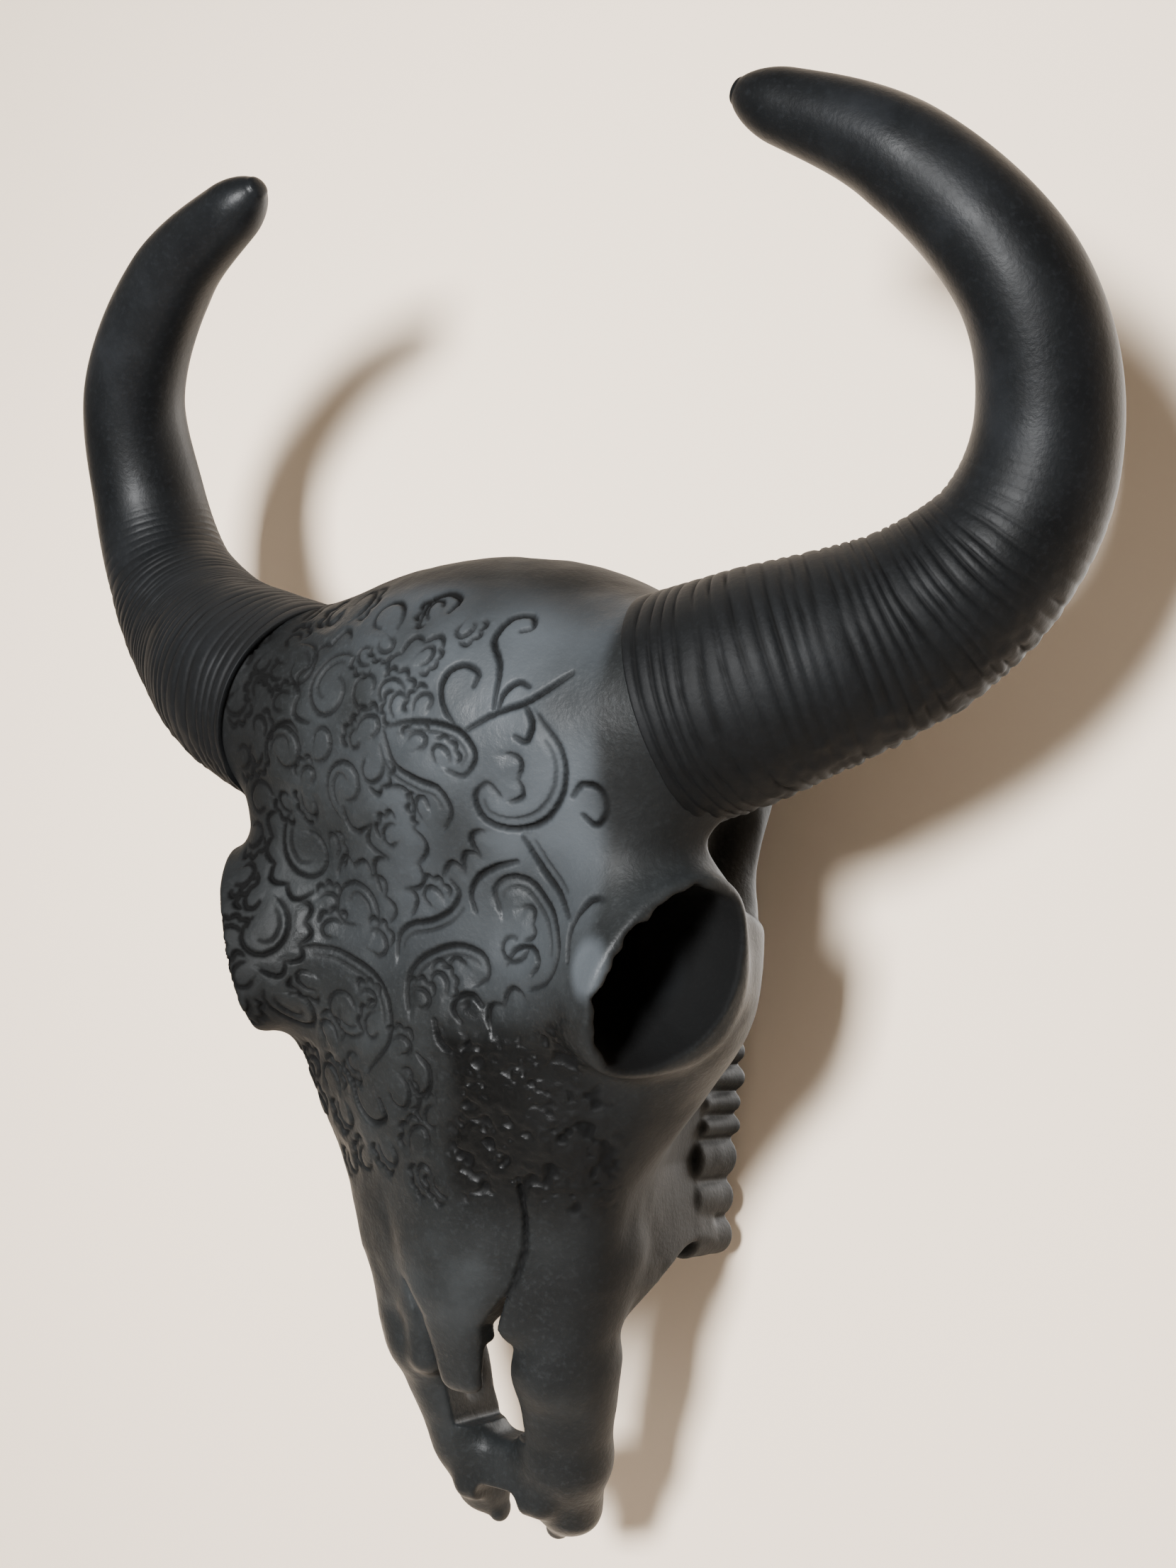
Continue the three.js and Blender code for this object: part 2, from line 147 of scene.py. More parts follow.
def muzzle_arms(p):
    upper = bar(p, (52, -134, -232), (41, -133, -292), 32, 26)
    middle = bar(p, (41, -126, -296), (31, -108, -346), 26, 20)
    tip = bar(p, (31, -108, -346), (27, -93, MUZZLE_END + 24), 20, 15)
    flank = bar(p, (47, -126, -290), (39, -105, -346), 25, 19)
    flank_tip = bar(p, (39, -105, -346), (33, -91, MUZZLE_END + 22), 19, 14)
    hook = bar(p, (31, -91, MUZZLE_END + 22), (21, -86, MUZZLE_END + 8), 14, 7)
    web = rounded_box(p, (0, -104, -361), (34, 17, 18), 9)
    inner = join(upper, join(middle, tip, 8), 5)
    outer = join(flank, join(flank_tip, hook, 6), 8)
    return join(join(inner, outer, 6), web, 8)


def nasal_half(z):
    flare = ramp(z, NASAL_TIP, 13, -275, 18) + ramp(z, -275, 0, -254, 16)
    return flare + ramp(z, -254, 0, -190, 12)


def nasal_slit(p):
    """The gap beside the nasal bones, from a point at their middle to the open nose."""
    wide = ramp(p[2], -284, 6, -260, 1.2)
    heights = meet(p[2] + 257, -338 - p[2], 3)
    return meet(np.abs(p[0] - nasal_half(p[2]) - wide) - wide, heights, 3)


def nasals(p):
    x, y, z = p
    roof = ramp(z, NASAL_TIP, -161, -264, -182) + ramp(z, -264, 0, -150, -31)
    half = nasal_half(z)
    arch = y - roof - x * x / 130
    sheet = meet(-arch, arch - ramp(z, -300, 9, -240, NASAL_THICK), 6)
    sides = meet(sheet, x - half, 8)
    ends = meet(NASAL_TIP - z, z + 140, 8)
    return meet(sides, ends, 8)


def orbit_axes():
    """Unit vectors out of the right orbit, along its opening and across it."""
    out = np.array(ORBIT_FACING) / np.linalg.norm(ORBIT_FACING)
    level = np.cross((0, 0, 1), out)
    level /= np.linalg.norm(level)
    rise = np.cross(out, level)
    along = math.cos(ORBIT_TURN) * level + math.sin(ORBIT_TURN) * rise
    return np.array([out, along, np.cross(out, along)], np.float32)


def in_orbit(p):
    return orbit_axes() @ (p - np.array(ORBIT_CENTRE, np.float32)[:, None])


def oval(a, b, half_a, half_b):
    k0 = np.hypot(a / half_a, b / half_b)
    k1 = np.hypot(a / half_a**2, b / half_b**2) + 1e-9
    return k0 * (k0 - 1) / k1


def orbit_tube(p):
    out, along, across = in_orbit(p)
    tube = oval(along, across, ORBIT_HALF[0] + ORBIT_WALL, ORBIT_HALF[1] + ORBIT_WALL)
    return meet(tube, np.abs(out + 45) - 45, 5)


def orbit_hollow(p):
    out, along, across = in_orbit(p)
    turn = np.arctan2(across, along)
    ragged = 1.1 * np.sin(7 * turn + 1) + 0.8 * np.sin(13 * turn) + 0.5 * np.sin(23 * turn + 2)
    ragged *= np.clip(0.5 + across / 40, 0.1, 1)
    depth = np.array([out - 5, along, across])
    return ellipsoid(depth, (0, 0, 0), (ORBIT_DEPTH, *ORBIT_HALF)) + ragged


def braincase(p):
    core = bar(p, (0, -105, 40), (0, -60, 55), 80, 60)
    wing = bar(p, (40, -105, 40), (72, -70, 62), 60, 34)
    knob = bar(p, (30, -60, 92), (34, -38, 104), 22, 18)
    base = bar(p, (0, -62, 40), (0, -60, -90), 40, 24)
    strut = bar(p, (30, -50, -40), (46, -46, -98), 14, 14)
    pad = rounded_box(p, (0, -30, PAD_Z), (PAD_HALF[0], 44, PAD_HALF[1]), 30)
    d = join(core, wing, 24)
    d = join(d, knob, 8)
    d = join(d, base, 24)
    d = join(d, strut, 12)
    return join(d, pad, 14)


def teeth(p):
    x, y, z = p
    d = np.full(x.shape, 99, np.float32)
    run = 0
    total = sum(TOOTH_LENGTHS)
    for number, length in enumerate(TOOTH_LENGTHS):
        lobes = 1 if number < 3 else 2
        for lobe in range(lobes):
            middle = run + length * (lobe + 0.5) / lobes
            centre = ROW_X[0] + (ROW_X[1] - ROW_X[0]) * middle / total
            across = (x - centre) / (0.5 * TOOTH_WIDTH)
            along = (z - ROW_FRONT - middle) / (0.54 * length / lobes)
            reach = np.hypot(across, along)
            column = (reach - 1) * 0.5 * length / lobes
            face = TOOTH_FACE + 1.5 * math.sin(5.1 * number + 2.3 * lobe) - 2.5 * np.clip(1 - reach, 0, 1)
            d = join(d, meet(column, np.abs(y - (face - 22)) - 22, 5), 3)
        run += length
    return d


def skull(p):
    left_plate = bar(p, (-30, -164, -236), (-27, -151, -298), 13, 11)
    narrowed = 1 + (p[0] < 0) * ramp(p[2], -355, 0.2, -285, 0)
    p = np.array([np.abs(p[0]) * narrowed, p[1], p[2]])

    dome = ellipsoid(p, (0, -170, 25), (146, DOME_FRONT - 170, DOME_TOP - 25))
    forehead = ellipsoid(p, (0, -150, -66), (144, 77, 150))
    horn_root = bar(p, (84, -192, 24), (130, -195, 40), 58, 54)
    brow = bar(p, (100, -203, 8), (104, -203, -75), 28, 28)
    socket_root = bar(p, (70, -160, -92), (104, -166, -97), 54, 42)
    d = join(dome, forehead, 40)
    d = join(d, horn_root, 22)
    d = join(d, brow, 20)
    d = join(d, socket_root, 20)
    d = join(d, cheeks(p), 26)
    d = join(d, nasals(p), 5)
    d = join(d, braincase(p), 30)

    temple = ellipsoid(p, (134, -134, -20), (36, 54, 38))
    arch_front = bar(p, (112, -150, -112), (104, -112, -52), 17, 12)
    arch_rear = bar(p, (104, -112, -52), (94, -82, 24), 12, 20)
    d = cut(d, temple, 10)
    d = join(d, arch_front, 14)
    d = join(d, arch_rear, 12)
    d = join(d, orbit_tube(p), 16)
    d = cut(d, orbit_hollow(p), 2)

    palate = bar(p, (0, -20, -92), (0, -30, -300), 40, 30)
    nose = bar(p, (0, -140, -205), (0, -116, -300), 22, 26)
    rear_opening = bar(p, (0, -44, 160), (0, -70, 78), 20, 17)
    nose_opening = bar(p, (9, -140, -264), (9, -112, -318), 24, 19)
    notch = rounded_box(p, (0, -95, MUZZLE_END + 2), (15, 60, 27), 7)
    d = cut(d, palate, 10)
    d = cut(d, nose, 8)
    d = cut(d, rear_opening, 5)
    d = join(d, muzzle_arms(p), 4)
    d = cut(d, nose_opening, 4)
    d = cut(d, nasal_slit(p), 1.5)
    d = join(d, left_plate, 5)
    d = cut(d, notch, 3)
    d = join(d, teeth(p), 2)
    return np.maximum(d, p[1])


# Sampled surface of the field
def sample_field():
    """Values of the field on a grid, exact near its surface and of the right sign elsewhere."""
    blocks = np.ceil((HIGH - LOW) / (CELL * BLOCK)).astype(int)
    size = CELL * BLOCK
    middles = np.stack(np.meshgrid(*[np.arange(n) for n in blocks], indexing="ij"), -1).reshape(-1, 3)
    rough = skull((LOW + (middles + 0.5) * size).T.astype(np.float32))
    value = np.repeat(np.repeat(np.repeat(rough.reshape(blocks), BLOCK, 0), BLOCK, 1), BLOCK, 2)
    inside = np.stack(np.meshgrid(*[np.arange(BLOCK)] * 3, indexing="ij"), -1).reshape(-1, 3)
    near = middles[np.abs(rough) < 1.25 * size]
    for part in np.array_split(near, max(1, len(near) // BATCH)):
        index = (part[:, None] * BLOCK + inside[None]).reshape(-1, 3)
        value[tuple(index.T)] = skull((LOW + index * CELL).T.astype(np.float32))
    return value


CORNERS = np.array([(i & 1, i >> 1 & 1, i >> 2) for i in range(8)])
EDGES = [(a, a | axis) for a in range(8) for axis in (1, 2, 4) if not a & axis]


def surface_of(value):
    """Vertices and quads of the zero level, one vertex in each cell that it crosses."""
    inside = value < 0
    count = np.zeros(np.array(value.shape) - 1, np.int8)
    for i, j, k in CORNERS:
        count += inside[i : i + count.shape[0], j : j + count.shape[1], k : k + count.shape[2]]
    cells = np.argwhere((count > 0) & (count < 8))
    number = np.full(count.shape, -1, np.int32)
    number[tuple(cells.T)] = np.arange(len(cells))
    corner = np.stack([value[tuple((cells + c).T)] for c in CORNERS], 1)
    total = np.zeros((len(cells), 3))
    crossings = np.zeros(len(cells))
    for a, b in EDGES:
        va, vb = corner[:, a], corner[:, b]
        crossed = (va < 0) != (vb < 0)
        t = np.where(crossed, va / np.where(crossed, va - vb, 1), 0)[:, None]
        total += np.where(crossed[:, None], CORNERS[a] + t * (CORNERS[b] - CORNERS[a]), 0)
        crossings += crossed
    vertices = LOW + (cells + total / crossings[:, None]) * CELL
    quads = []
    for axis in range(3):
        u, v = (axis + 1) % 3, (axis + 2) % 3
        ahead = np.diff(inside.astype(np.int8), axis=axis)
        at = np.argwhere(ahead != 0)
        at = at[(at[:, u] > 0) & (at[:, v] > 0) & (at[:, u] < count.shape[u]) & (at[:, v] < count.shape[v])]
        leaving = ahead[tuple(at.T)] < 0
        ring = []
        for du, dv in ((0, 0), (1, 0), (1, 1), (0, 1)):
            cell = at.copy()
            cell[:, u] -= du
            cell[:, v] -= dv
            ring.append(number[tuple(cell.T)])
        ring = np.stack(ring, 1)
        quads.append(np.where(leaving[:, None], ring, ring[:, ::-1]))
    return vertices, np.concatenate(quads)


def slope_of(p):
    """The field and its gradient at each point."""
    d = skull(p)
    steps = [skull(p + SLOPE_STEP * np.eye(3, dtype=np.float32)[:, [i]]) for i in range(3)]
    return d, (np.array(steps) - d) / SLOPE_STEP


def settle(vertices):
    """Vertices moved onto the surface, with its normals."""
    p = vertices.T.astype(np.float32)
    limit = 0.6 * CELL
    for _ in range(2):
        d, gradient = slope_of(p)
        step = d * gradient / np.maximum((gradient**2).sum(0), 0.3)
        p = p - np.clip(step, -limit, limit)
    gradient = slope_of(p)[1]
    return p.T, (gradient / (np.linalg.norm(gradient, axis=0) + 1e-9)).T


# Carving: lines stamped on height maps over the front of the skull
MAP_LOW = np.array([-175.0, -335.0])
MAP_CELL = 0.5
MAP_SIZE = (700, 950)
STAMP = 20  # half size of a stamp, in map cells
LINE_DEPTH = 3.2
LINE_HALF = 1.25
BANK = 8.0  # reach of the sloping bank beside a line
RIBBON_WIDTH = 4.5  # from a ribbon's main line to its inner line
CURVE = np.linspace(0, 1, 200)

# Ribbons on the forehead: points x and z along each, and the side of its inner line, 0 for none
RIBBONS = [
    ([(0, 68), (0, 83), (9, 87), (17, 83), (15, 76)], 0),
    ([(54, 27), (53, 48), (46, 62), (51, 73), (60, 74), (63, 68), (58, 66)], 0),
    ([(34, 18), (27, 28), (25, 37), (28, 45), (35, 48), (43, 44), (42, 37)], 0),
    ([(40, 16), (56, 25), (72, 31), (92, 45)], 0),
    ([(56, 25), (58, 34), (65, 40), (71, 38)], 0),
    ([(70, 30), (75, 20), (72, 12), (66, 14)], 0),
    ([(78, 24), (90, 8), (89, -9), (77, -23), (60, -28), (46, -24), (43, -14), (50, -8), (56, -13)], -1),
    ([(-7, 17), (16, 20), (38, 15), (45, 4), (38, -5), (30, -3)], -1),
    ([(-7, 15), (-1, -1), (12, -8), (24, -12), (29, -22), (24, -30)], -1),
    ([(34, -68), (32, -60), (37, -52), (48, -46), (59, -43)], 0),
    (
        [(47, -66), (45, -57), (52, -51), (62, -51), (72, -59), (82, -71), (86, -86), (80, -98), (67, -103)],
        -1,
    ),
    ([(52, -92), (58, -84), (68, -83), (73, -90), (68, -96)], 0),
    ([(94, -88), (93, -76), (96, -66), (104, -58), (114, -60), (115, -68), (109, -69)], 0),
    ([(64, -32), (71, -46), (81, -56), (90, -67)], 1),
    ([(-6, -118), (-7, -106), (-2, -96), (9, -89), (24, -85), (38, -89), (41, -98), (35, -103)], -1),
    ([(26, -122), (21, -116), (24, -110), (32, -108), (38, -113)], 0),
    ([(-75, -93), (-58, -92), (-42, -97), (-26, -106), (-18, -120), (-20, -136), (-36, -152)], -1),
    ([(-14, -92), (-13, -83), (-6, -77), (8, -74), (20, -68), (25, -60), (21, -54)], -1),
    ([(93, -12), (99, -6), (107, -8), (109, -17), (103, -24), (97, -20)], 0),
    ([(-2, -140), (5, -147), (4, -157), (-4, -161), (-9, -154)], 0),
    ([(-50, -158), (-47, -172), (-38, -179), (-28, -175), (-30, -166)], 0),
    ([(-95, 2), (-94, 12), (-86, 18), (-76, 20), (-70, 15)], 0),
    ([(10, -122), (14, -134), (24, -138), (30, -131)], 0),
]
# Lobed leaf edges: points x and z along each, the number of lobes and the side that they bulge to
LEAF_EDGES = [
    ([(-8, -12), (5, -32), (3, -48), (-7, -60), (-4, -72)], 4, 1),
    ([(44, -30), (40, -42), (30, -50), (18, -52)], 3, -1),
    ([(20, 56), (8, 60), (-4, 54), (-8, 42)], 3, -1),
    ([(62, -106), (50, -112), (42, -122)], 2, -1),
    ([(-40, -22), (-22, -30), (-16, -46), (-24, -62)], 3, -1),
    ([(62, 6), (66, -6), (60, -16)], 2, 1),
    ([(60, -64), (66, -72), (62, -80)], 2, 1),
    ([(8, -98), (18, -96), (28, -94)], 2, 1),
]
# Scrolls on the worn left side: centre x and z, outer radius, start angle in degrees, turns
SCROLLS = [
    (-82, 4, 15, 190, -0.95),
    (-46, 38, 18, 60, 1.0),
    (-20, 36, 11, 300, -0.85),
    (-44, -74, 17, 330, 0.85),
    (-74, -40, 18, 120, 0.9),
    (-36, -14, 15, 230, -0.9),
    (-98, -84, 17, 60, -0.8),
    (-106, -20, 11, 20, 0.8),
    (-78, 50, 13, 100, -0.8),
    (-24, 72, 12, 340, 0.8),
    (-82, -122, 13, 160, 0.8),
    (-48, -122, 15, 330, -0.85),
    (-54, 10, 10, 250, 0.8),
    (56, -82, 9, 20, -0.9),
]
SUTURE = [(47, -196), (47, -214), (45, -232), (38, -250), (33, -259)]  # beside the nasal bones
WORN = 0.75  # strength of the carving on the left
FILL_RANGE = ((-122, -205), (30, 85))  # lowest and highest x and z of the smallest scrolls
FILL_TRIES = 1500
FILL_SEED = 7
FILL_RADII = (6, 11)


def hooked(x, z, radius, start, turns):
    """A wide open curve that ends in a tight curl."""
    t = np.linspace(0, 1, 260)
    angle = math.radians(start) + 2 * math.pi * turns * (0.75 * t + 0.25 * t**3)
    reach = radius * (1 - 0.15 * t) * (1 - 0.62 * smooth(t, 0.55, 1))
    return np.stack([x + reach * np.cos(angle), z + reach * np.sin(angle)], 1)


def spline(knots, t):
    """Points of a smooth curve through the knots, and the way along it, for t from 0 to 1."""
    knots = np.array(knots, float)
    s = np.clip(t, 0, 1) * (len(knots) - 1)
    i = np.minimum(s.astype(int), len(knots) - 2)
    f = (s - i)[:, None]
    knots = np.vstack([2 * knots[0] - knots[1], knots, 2 * knots[-1] - knots[-2]])
    p0, p1, p2, p3 = (knots[i + k] for k in range(4))
    d0, d1, d2 = (np.sqrt(np.linalg.norm(b - a, axis=1))[:, None] for a, b in ((p0, p1), (p1, p2), (p2, p3)))
    m1 = ((p1 - p0) / d0 - (p2 - p0) / (d0 + d1) + (p2 - p1) / d1) * d1
    m2 = ((p2 - p1) / d1 - (p3 - p1) / (d1 + d2) + (p3 - p2) / d2) * d1
    c2 = -3 * p1 + 3 * p2 - 2 * m1 - m2
    c3 = 2 * p1 - 2 * p2 + m1 + m2
    point = p1 + m1 * f + c2 * f**2 + c3 * f**3
    way = m1 + 2 * c2 * f + 3 * c3 * f**2
    return point, way / np.linalg.norm(way, axis=1)[:, None]


def bow(root, tip, bulge):
    t = np.linspace(0, 1, 80)[:, None]
    way = tip - root
    aside = np.array([-way[1], way[0]]) / np.hypot(*way)
    return root + t * way + np.sin(math.pi * t**0.8) * bulge * aside


class Carving:
    """Two maps over the front of the skull: how far the surface sinks, and how dark its grooves are painted,
    as painted shade.
    """

    def __init__(self):
        self.sink = np.zeros(MAP_SIZE)
        self.groove_shade = np.zeros(MAP_SIZE)
        reach = np.arange(-STAMP, STAMP + 1) * MAP_CELL
        self.dx, self.dz = np.meshgrid(reach, reach, indexing="ij")
        self.distance = np.hypot(self.dx, self.dz)

    def line(self, points, weight, bank):
        """Cuts a line that swells in its middle, with a bank that slopes down to it on one side."""
        length = np.concatenate([[0], np.cumsum(np.linalg.norm(np.diff(points, axis=0), axis=1))])
        places = np.arange(0, length[-1], MAP_CELL)
        path = np.stack([np.interp(places, length, points[:, i]) for i in range(2)], 1)
        way = np.gradient(path, axis=0)
        swell = weight * (0.35 + 0.65 * np.sin(math.pi * (0.06 + 0.86 * places / length[-1])))
        slope = 0.45 * LINE_DEPTH * weight * np.clip(1 - self.distance / BANK, 0, 1) ** 1.3
        for point, direction, w in zip(path, way, swell):
            i, k = np.round((point - MAP_LOW) / MAP_CELL).astype(int)
            area = np.s_[i - STAMP : i + STAMP + 1, k - STAMP : k + STAMP + 1]
            cut_line = np.exp(-((self.distance / (LINE_HALF * (0.5 + 0.5 * w))) ** 2))
            aside = bank * (direction[0] * self.dz - direction[1] * self.dx)
            depth = np.maximum(w * LINE_DEPTH * cut_line, slope * (aside > 0))
            np.maximum(self.sink[area], depth, out=self.sink[area])
            # Painted shade along the groove
            np.maximum(self.groove_shade[area], w * cut_line, out=self.groove_shade[area])

    def scallops(self, curve, count, side):
        """A lobed leaf edge: arcs that bulge to one side between points spread along a curve."""
        ends = curve[np.linspace(0, len(curve) - 1, count + 1).astype(int)]
        for root, tip in zip(ends[:-1], ends[1:]):
            self.line(bow(root, tip, 0.42 * side * np.hypot(*(tip - root))), 0.85, -side)

    def ribbon(self, knots, inner):
        """A swelling line through the knots, and a finer one that follows it on its inner side."""
        curve, way = spline(knots, CURVE)
        self.line(curve, 1, inner)
        if inner:
            beside = curve + RIBBON_WIDTH * inner * np.stack([-way[:, 1], way[:, 0]], 1)
            self.line(beside[14:150], 0.5, -inner)

    def scroll(self, x, z, radius, start, turns, weight):
        """A ribbon that opens wide and ends in a curl, with a lobed leaf edge along its back."""
        side = np.sign(turns)
        self.line(hooked(x, z, radius, start, turns), weight, -side)
        if radius > 12:
            self.line(hooked(x, z, radius - 5, start + 12 * side, 0.62 * turns)[:200], 0.6 * weight, side)
        if radius > 15:
            self.scallops(hooked(x, z, radius + 8, start + 25 * side, turns)[:130], 4, -side)

    def fill(self):
        """Small scrolls wherever the larger ones left room."""
        rng = np.random.default_rng(FILL_SEED)
        for x, z in rng.uniform(*FILL_RANGE, (FILL_TRIES, 2)):
            radius = rng.uniform(*FILL_RADII)
            start = rng.uniform(0, 360)
            side = rng.choice((-1, 1))
            i, k = np.round((np.array([x, z]) - MAP_LOW) / MAP_CELL).astype(int)
            room = int(0.75 * radius / MAP_CELL)
            if self.groove_shade[i - room : i + room + 1, k - room : k + room + 1].max() < 0.3:
                self.line(hooked(x, z, radius, start, 0.62 * side), 0.75, -side)
                self.scallops(hooked(x, z, radius + 4, start, 0.5 * side)[:170], 3, -side)


def read_map(chart, x, z):
    i = np.clip((x - MAP_LOW[0]) / MAP_CELL, 0, MAP_SIZE[0] - 2)
    k = np.clip((z - MAP_LOW[1]) / MAP_CELL, 0, MAP_SIZE[1] - 2)
    i0, k0 = i.astype(int), k.astype(int)
    u, v = i - i0, k - k0
    low = chart[i0, k0] * (1 - u) + chart[i0 + 1, k0] * u
    high = chart[i0, k0 + 1] * (1 - u) + chart[i0 + 1, k0 + 1] * u
    return low * (1 - v) + high * v


def lattice_noise(p, size, seed):
    """Smooth repeatable noise between -1 and 1 over points, with bumps of the given size."""
    table = np.random.default_rng(seed).uniform(-1, 1, (NOISE_CELLS,) * 3)
    q = p / size
    base = np.floor(q).astype(int)
    f = q - base
    f = f * f * (3 - 2 * f)
    total = np.zeros(len(p))
    for corner in CORNERS:
        weight = np.prod(np.where(corner == 1, f, 1 - f), axis=1)
        total += weight * table[tuple(((base + corner) % NOISE_CELLS).T)]
    return total


def mesh_object(name, vertices, faces):
    """A smooth shaded mesh from points in millimetres and arrays of faces with equal numbers of sides."""
    mesh = bpy.data.meshes.new(name)
    corners = np.concatenate([f.ravel() for f in faces]).astype(np.int32)
    sides = np.concatenate([np.full(len(f), f.shape[1]) for f in faces]).astype(np.int32)
    mesh.vertices.add(len(vertices))
    mesh.vertices.foreach_set("co", (np.asarray(vertices) * MM).astype(np.float32).ravel())
    mesh.loops.add(len(corners))
    mesh.loops.foreach_set("vertex_index", corners)
    mesh.polygons.add(len(sides))
    mesh.polygons.foreach_set("loop_start", np.concatenate([[0], np.cumsum(sides)[:-1]]).astype(np.int32))
    mesh.polygons.foreach_set("use_smooth", np.ones(len(sides), bool))
    mesh.update(calc_edges=True)
    mesh.validate()
    piece = bpy.data.objects.new(name, mesh)
    bpy.context.scene.collection.objects.link(piece)
    return piece


def set_tone(piece, name, values):
    attribute = piece.data.attributes.new(name, "FLOAT", "POINT")
    attribute.data.foreach_set("value", values.astype(np.float32))


def refine(vertices, quads, chosen):
    """Splits the chosen quads in four, and gives their neighbours the new points on shared sides."""
    picked = quads[chosen]
    sides = np.sort(np.stack([picked, np.roll(picked, -1, 1)], -1).reshape(-1, 2), 1)
    keys = sides[:, 0].astype(np.int64) * len(vertices) + sides[:, 1]
    unique, place = np.unique(keys, return_inverse=True)
    ends = np.stack([unique // len(vertices), unique % len(vertices)], 1)
    first_mid = len(vertices)
    first_centre = first_mid + len(unique)
    points = np.concatenate([vertices, vertices[ends].mean(1), vertices[picked].mean(1)])
    mids = first_mid + place.reshape(-1, 4)
    centre = first_centre + np.arange(len(picked))
    small = [np.stack([picked[:, k], mids[:, k], centre, mids[:, k - 1]], 1) for k in range(4)]
    others = quads[~chosen]
    other_sides = np.sort(np.stack([others, np.roll(others, -1, 1)], -1), -1).astype(np.int64)
    other_keys = other_sides[..., 0] * len(vertices) + other_sides[..., 1]
    found = np.minimum(np.searchsorted(unique, other_keys), len(unique) - 1)
    shared = unique[found] == other_keys
    border = shared.any(1)
    rings = {}
    for ring, hit, mid in zip(others[border], shared[border], first_mid + found[border]):
        loop = [v for k in range(4) for v in ([ring[k], mid[k]] if hit[k] else [ring[k]])]
        rings.setdefault(len(loop), []).append(loop)
    return points, [np.concatenate(small), others[~border], *(np.array(r) for r in rings.values())]


def carved_share(p, normals):
    """Where the front of the skull carries carving, from 0 to 1."""
    x, y, z = p.T
    front = smooth(-normals[:, 1], 0.25, 0.6) * smooth(-y, 168, 186)
    heights = smooth(z, -226, -210) * smooth(100 - z, 0, 16)
    right_edge = ramp(z, -140, 12, -112, 112)
    return front * heights * smooth(right_edge - x, 0, 10) * smooth(x, -132, -120)


def porous_share(p, normals):
    """Where the right side of the face is crumbled and pitted, from 0 to 1."""
    x, y, z = p.T
    front = smooth(-normals[:, 1], 0.15, 0.5) * smooth(-y, 150, 170)
    reach = smooth(x + 6 * lattice_noise(p, 18, 12), 4, 22) * smooth(104 - x, 0, 24)
    return front * reach * smooth(z, -224, -196) * smooth(-104 - z + 14 * lattice_noise(p, 16, 13), 0, 24)


def carve_forehead():
    carving = Carving()
    for knots, inner in RIBBONS:
        carving.ribbon(knots, inner)
    for knots, count, side in LEAF_EDGES:
        carving.scallops(spline(knots, CURVE)[0], count, side)
    for scroll in SCROLLS:
        carving.scroll(*scroll, WORN)
    carving.fill()
    return carving


def painted_shade_share(x, z):
    """Where painted shade darkens the colour: the left side, the right cheek, the dome and below the right
    horn.
    """
    cheek = smooth(x, 45, 85) * smooth(-z, 120, 165)
    shade = np.maximum(smooth(-x, 60, 115), cheek)
    shade = np.maximum(shade, 0.8 * smooth(z, 62, 100))
    # Painted shade below the right horn
    shade_below_horn = 1 - smooth(np.hypot((x - 128) / 34, (z + 14) / 36), 0.4, 1.1)
    return np.maximum(shade, 0.9 * shade_below_horn * (x > 0))


def build_skull():
    vertices, quads = surface_of(sample_field())
    vertices, normals = settle(vertices)
    fine = (carved_share(vertices, normals) > 0) | (porous_share(vertices, normals) > 0)
    vertices, faces = refine(vertices, quads, fine[quads].all(1))
    vertices, normals = settle(vertices)
    x, y, z = vertices.T

    carving = carve_forehead()
    seam = Carving()
    seam.line(np.array(SUTURE, float), 0.9, 0)
    carved = carved_share(vertices, normals)
    porous = porous_share(vertices, normals)
    face = smooth(-normals[:, 1], 0.3, 0.6)
    sink = np.maximum(carved * read_map(carving.sink, x, z), face * read_map(seam.sink, x, z))
    groove_shade = np.maximum(carved * read_map(carving.groove_shade, x, z), face * read_map(seam.groove_shade, x, z))
    crumble = lattice_noise(vertices, 7, 1) + 0.7 * lattice_noise(vertices, 3.6, 4)
    pits = porous * (2.6 * np.minimum(0, crumble + 0.1) + 0.8 * np.maximum(0, crumble - 0.2))
    lumps = 0.55 * lattice_noise(vertices, 22, 2) + 0.25 * lattice_noise(vertices, 9, 3)
    moved = vertices + normals * (lumps + pits - sink)[:, None]
    moved[:, 1] = np.minimum(moved[:, 1], 0)
    piece = mesh_object("skull_skin", moved, faces)

    # Painted shade: the carved grooves, the pits, the orbit's hollow and the shaded areas are painted darker
    hollow = smooth(-orbit_hollow(np.array([np.abs(x), y, z])), -4, 0.5)
    dark = groove_shade**0.6 + np.maximum(0, -0.5 * pits) + 0.97 * hollow + 0.6 * painted_shade_share(x, z)
    polish = 0.5 + 0.5 * lattice_noise(vertices, 30, 11)
    # Painted sheen on the carved forehead and a painted highlight beside the right orbit, with dust on
    # upward faces
    forehead = carved * smooth(z, -130, -60) * smooth(x, -90, 20)
    painted_highlight = 1 - smooth(np.hypot((x - 109) / 13, (z + 90) / 17), 0.5, 1.1)
    settled = 0.15 * smooth(normals[:, 2], 0.1, 0.9)
    set_tone(piece, "line", np.clip(dark, 0, 1))
    set_tone(piece, "porous", porous)
    set_tone(piece, "dust_and_sheen", polish * (settled + 0.9 * forehead) + 0.8 * painted_highlight)
    return piece


# Horns
RADIUS_PASSES = 12  # that even out the radii along a horn
RING_SPACING = 6.8
RING_DEPTH = 1.6
RINGS_FADE = (110, 235)  # where the rings die out, from a horn's root
SHEATH = 0.6  # height of the sheath over the solid
ROOT_FOLD = (7, 4)  # of the edge at a horn's root, inwards and along
CAP_ANGLES = np.linspace(0.15, 1.55, 10)


